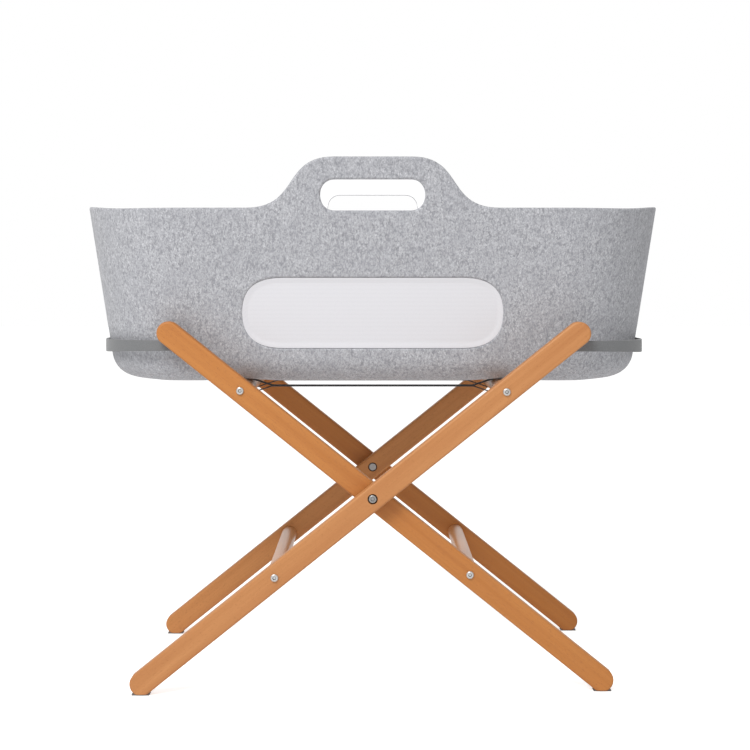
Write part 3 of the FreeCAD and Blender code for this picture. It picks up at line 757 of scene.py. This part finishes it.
def cotton(name, shade):
    """Plain white cotton: a fine even weave with a slight cloudiness."""
    cloth = Recipe(name, Roughness=0.88, Specular_IOR_Level=0.2, Sheen_Weight=0.25, Sheen_Roughness=0.5)
    waves = [cloth.node("TexWave", {"bands_direction": way}, {
        "Vector": cloth.placed((1, 1, 1)), "Scale": 520.0, "Distortion": 0.6}).outputs["Fac"]
        for way in ("X", "Y", "Z")]
    weave = cloth.math("ADD", cloth.math("MULTIPLY", waves[0], waves[1]), waves[2])
    slub = cloth.noise(cloth.placed((160, 160, 160)), 1.0, 4, 0.6)
    cloth.colour(cloth.ramp(slub, (0.3, tuple(0.97 * c for c in shade)), (0.7, shade)))
    cloth.bump(weave, 0.00012, 0.4)
    cloth.bump(slub, 0.0003, 0.3)
    return cloth.material


liner = tub("cotton_lining", LINER_INSET, LINER_BASE_Z, BOTTOM_RADIUS - LINER_INSET, LINER_THICK)
cut(liner, rim_punch(drop=LINER_RIM_DROP))
cut(liner, punch(SLOT_Z, SLOT, LINER_SLOT_MARGIN))
smooth(liner)
liner.data.materials.append(cotton("white cotton jersey", (0.94, 0.94, 0.945)))
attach(liner, "basket")
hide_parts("liner")

# ---------------------------------------------------------------- mattress
# A foam core in a white cotton cover, with round corners to suit the basket and a piped seam
# below its top edge. The cover is a little slack, so it crowns in the middle.

cover_low, cover_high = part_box("mattress_cover")
MATTRESS_CORNER = 0.092
MATTRESS_EDGE = 0.012
SWELL_ROOM = 0.002
CORE_INSET = 0.0065
CORE_EDGE = 0.010
PIPING_RADIUS = 0.0018
PIPING_STEP = 40

foam = Recipe("cream foam", Roughness=0.9)
pores = foam.noise(foam.placed((900, 900, 900)), 1.0, 3, 0.6)
foam.colour(foam.ramp(pores, (0.35, (0.60, 0.55, 0.40)), (0.65, (0.78, 0.73, 0.57))))
foam.bump(pores, 0.0003, 0.8)
centre = (cover_low + cover_high) / 2
size = cover_high - cover_low
jersey = cotton("white cotton cover", (0.80, 0.80, 0.81))


def rounded_slab(name, inset, corner, edge):
    """A slab inset from the cover's box, with round corners in plan and eased rims."""
    bpy.ops.mesh.primitive_cube_add(size=1, location=centre)
    slab = bpy.context.object
    slab.name = name
    slab.scale = size - Vector((2 * inset, 2 * inset, 2 * inset))
    settled(slab)
    edit(slab)
    pick(slab, lambda co: abs(co.z - centre.z) < 1e-4, "EDGE")
    bpy.ops.mesh.bevel(offset=corner, segments=12)
    pick(slab, lambda co: abs(co.z - centre.z) > 0.005, "EDGE")
    bpy.ops.mesh.bevel(offset=edge, segments=4)
    done()
    return slab


core = rounded_slab("mattress_foam", CORE_INSET, MATTRESS_CORNER - CORE_INSET, CORE_EDGE)
smooth(core, math.radians(60))
core.data.materials.append(foam.material)
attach(core, "basket")
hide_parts("mattress_core")

mattress = rounded_slab("mattress_cover_cloth", SWELL_ROOM, MATTRESS_CORNER, MATTRESS_EDGE)
mattress.data.materials.append(jersey)


def puff(piece, voxel=0.005, pressure=4.0, frames=20, cap=0.004):
    """Lets the cover swell like cloth over its filling, no point moving further than cap."""
    remesh = piece.modifiers.new("even cloth", "REMESH")
    remesh.mode, remesh.voxel_size = "VOXEL", voxel
    apply_modifiers(piece)
    before = [vertex.co.copy() for vertex in piece.data.vertices]
    cloth = piece.modifiers.new("cloth", "CLOTH")
    cloth.settings.use_pressure = True
    cloth.settings.uniform_pressure_force = pressure
    cloth.settings.effector_weights.gravity = 0.0
    cloth.point_cache.frame_end = frames
    for step in range(1, frames + 1):
        scene.frame_set(step)
    apply_modifiers(piece)
    for vertex, start in zip(piece.data.vertices, before):
        moved = vertex.co - start
        if moved.length > cap:
            vertex.co = start + moved.normalized() * cap
    scene.frame_set(1)


puff(mattress)
for vertex in mattress.data.vertices:
    vertex.co.z = max(vertex.co.z, cover_low.z)
finer = mattress.modifiers.new("finer", "SUBSURF")
finer.levels = finer.render_levels = 1
apply_modifiers(mattress)
smooth(mattress, math.radians(60))
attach(mattress, "basket")
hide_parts("mattress_cover")

piping = oval_sheet(cover_high.z - MATTRESS_EDGE, size.x / 2, size.y / 2, MATTRESS_CORNER)
piping.name = "mattress_piping"
edit(piping)
pick(piping, lambda co: True, "FACE")
bpy.ops.mesh.delete(type="ONLY_FACE")
pick(piping, lambda co: abs(co.x) < 1e-4 or abs(co.y) < 1e-4, "EDGE")
bpy.ops.mesh.subdivide(number_cuts=PIPING_STEP)
done()
laid = piping.modifiers.new("on the cover", "SHRINKWRAP")
laid.target = mattress
apply_modifiers(piping)
bpy.ops.object.convert(target="CURVE")
piping.data.bevel_depth = PIPING_RADIUS
bpy.ops.object.convert(target="MESH")
smooth(piping, math.radians(60))
piping.data.materials.append(jersey)
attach(piping, "basket")

# ---------------------------------------------------------------- studio
# A pale floor and white surroundings with one broad soft light high on the left, as in a small
# product studio. Floor and surroundings are whiter to look at than the light that they give.

bpy.ops.mesh.primitive_plane_add(size=40, location=(0, 0, 0))
floor = bpy.context.object
floor.name = "studio_floor"
paper = Recipe("lit white paper", Roughness=0.9, Specular_IOR_Level=0.1, Emission_Color=(1, 1, 1, 1))
PAPER_GLOW = 0.13
PAPER_GLOW_SEEN = 0.5
from_camera = paper.node("LightPath").outputs["Is Camera Ray"]
glow = paper.math("ADD", paper.math("MULTIPLY", from_camera, PAPER_GLOW_SEEN), PAPER_GLOW)
paper.links.new(glow, paper.shader.inputs["Emission Strength"])
tooth = paper.noise(paper.placed((60, 60, 60)), 1.0, 3)
paper.colour(paper.ramp(tooth, (0.3, 0.90), (0.7, 0.92)))
floor.data.materials.append(paper.material)

SURROUND_LIGHT = 0.5
SURROUND_IN_GLOSS = 0.8
world = bpy.data.worlds.new("white surroundings")
scene.world = world
world.use_nodes = True
sky = world.node_tree
dim = sky.nodes["Background"]
dim.inputs["Color"].default_value = (1, 1, 1, 1)
dim.inputs["Strength"].default_value = SURROUND_LIGHT
seen = sky.nodes.new("ShaderNodeBackground")
seen.inputs["Color"].default_value = (1, 1, 1, 1)
rays = sky.nodes.new("ShaderNodeLightPath")
mirrored = sky.nodes.new("ShaderNodeMath")
mirrored.operation = "MULTIPLY"
mirrored.inputs[1].default_value = SURROUND_IN_GLOSS
share = sky.nodes.new("ShaderNodeMath")
share.operation = "MAXIMUM"
choice = sky.nodes.new("ShaderNodeMixShader")
wires = ((rays.outputs["Is Glossy Ray"], mirrored.inputs[0]), (mirrored.outputs[0], share.inputs[0]),
         (rays.outputs["Is Camera Ray"], share.inputs[1]), (share.outputs[0], choice.inputs[0]),
         (dim.outputs[0], choice.inputs[1]), (seen.outputs[0], choice.inputs[2]),
         (choice.outputs[0], sky.nodes["World Output"].inputs["Surface"]))
for source, socket in wires:
    sky.links.new(source, socket)


def soft_box(name, place, target, width, height, power):
    light = bpy.data.lights.new(name, "AREA")
    light.shape, light.size, light.size_y, light.energy = "RECTANGLE", width, height, power
    lamp = bpy.data.objects.new(name, light)
    lamp.location = place
    lamp.rotation_euler = (Vector(target) - Vector(place)).to_track_quat("-Z", "Y").to_euler()
    scene.collection.objects.link(lamp)


soft_box("key", (-1.15, -2.6, 3.05), (0, 0, 0.5), 1.8, 1.8, 113)

CAMERA_DISTANCE = 2.4683
CAMERA_HEIGHT = 0.55385
camera = bpy.data.cameras.new("camera")
camera.lens = 79.79
camera.sensor_width = 36
camera.shift_x = 0.0031
camera.shift_y = -0.1187
camera_stand = bpy.data.objects.new("camera", camera)
camera_stand.location = (0, -CAMERA_DISTANCE, CAMERA_HEIGHT)
camera_stand.rotation_euler = (math.pi / 2, 0, 0)
scene.collection.objects.link(camera_stand)
scene.camera = camera_stand
scene.view_settings.view_transform = "Standard"

bpy.ops.object.select_all(action="DESELECT")
